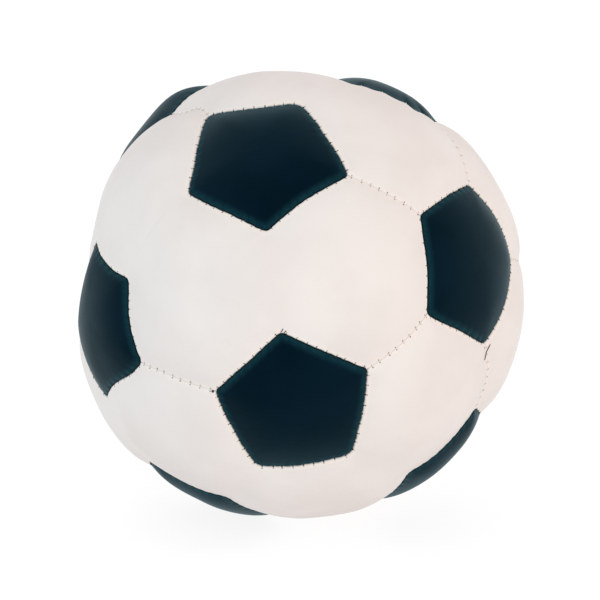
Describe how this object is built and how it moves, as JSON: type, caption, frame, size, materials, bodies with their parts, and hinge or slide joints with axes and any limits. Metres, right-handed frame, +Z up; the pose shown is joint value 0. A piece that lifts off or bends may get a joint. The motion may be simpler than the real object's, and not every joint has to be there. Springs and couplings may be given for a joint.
{
  "type": "medicine ball",
  "caption": "Small stuffed medicine ball with a cover of dark pentagons and white hexagons sewn edge to edge, over wadding and a sewn weight bag; it rests on a flattened panel.",
  "frame": {"origin": "on the floor, under the ball's centre, in the middle of the flattened patch", "axes": "+Z up; -Y towards the viewer of the front; the resting panel's centre leans towards +X"},
  "size_m": [0.1492, 0.1492, 0.1484],
  "materials": {
    "dark_leatherette": "blue-black coated fabric with a fine grain and a soft sheen",
    "white_leatherette": "warm white coated fabric with a fine grain, satin",
    "seam_thread": "pale waxed sewing thread",
    "wadding": "off-white fibre wadding, matt",
    "bag_canvas": "natural plain-woven canvas, matt",
    "bag_thread": "off-white thread, matt",
    "weight_fill": "dry sand, matt"
  },
  "bodies": {
    "root": {"pentagon_panel_01": "dark_leatherette", "pentagon_panel_02": "dark_leatherette", "pentagon_panel_03": "dark_leatherette", "pentagon_panel_04": "dark_leatherette", "pentagon_panel_05": "dark_leatherette", "pentagon_panel_06": "dark_leatherette", "pentagon_panel_07": "dark_leatherette", "pentagon_panel_08": "dark_leatherette", "pentagon_panel_09": "dark_leatherette", "pentagon_panel_10": "dark_leatherette", "pentagon_panel_11": "dark_leatherette", "pentagon_panel_12": "dark_leatherette", "hexagon_panel_01": "white_leatherette", "hexagon_panel_02": "white_leatherette", "hexagon_panel_03": "white_leatherette", "hexagon_panel_04": "white_leatherette", "hexagon_panel_05": "white_leatherette", "hexagon_panel_06": "white_leatherette", "hexagon_panel_07": "white_leatherette", "hexagon_panel_08": "white_leatherette", "hexagon_panel_09": "white_leatherette", "hexagon_panel_10": "white_leatherette", "hexagon_panel_11": "white_leatherette", "hexagon_panel_12": "white_leatherette", "hexagon_panel_13": "white_leatherette", "hexagon_panel_14": "white_leatherette", "hexagon_panel_15": "white_leatherette", "hexagon_panel_16": "white_leatherette", "hexagon_panel_17": "white_leatherette", "hexagon_panel_18": "white_leatherette", "hexagon_panel_19": "white_leatherette", "resting_hexagon_panel": "white_leatherette", "seam_thread": "seam_thread", "closing_seam_thread": "seam_thread", "wadding_upper": "wadding", "wadding_lower": "wadding", "weight_bag_upper": "bag_canvas", "weight_bag_lower": "bag_canvas", "weight_bag_thread": "bag_thread", "weight_fill": "weight_fill"}
  },
  "joints": []
}
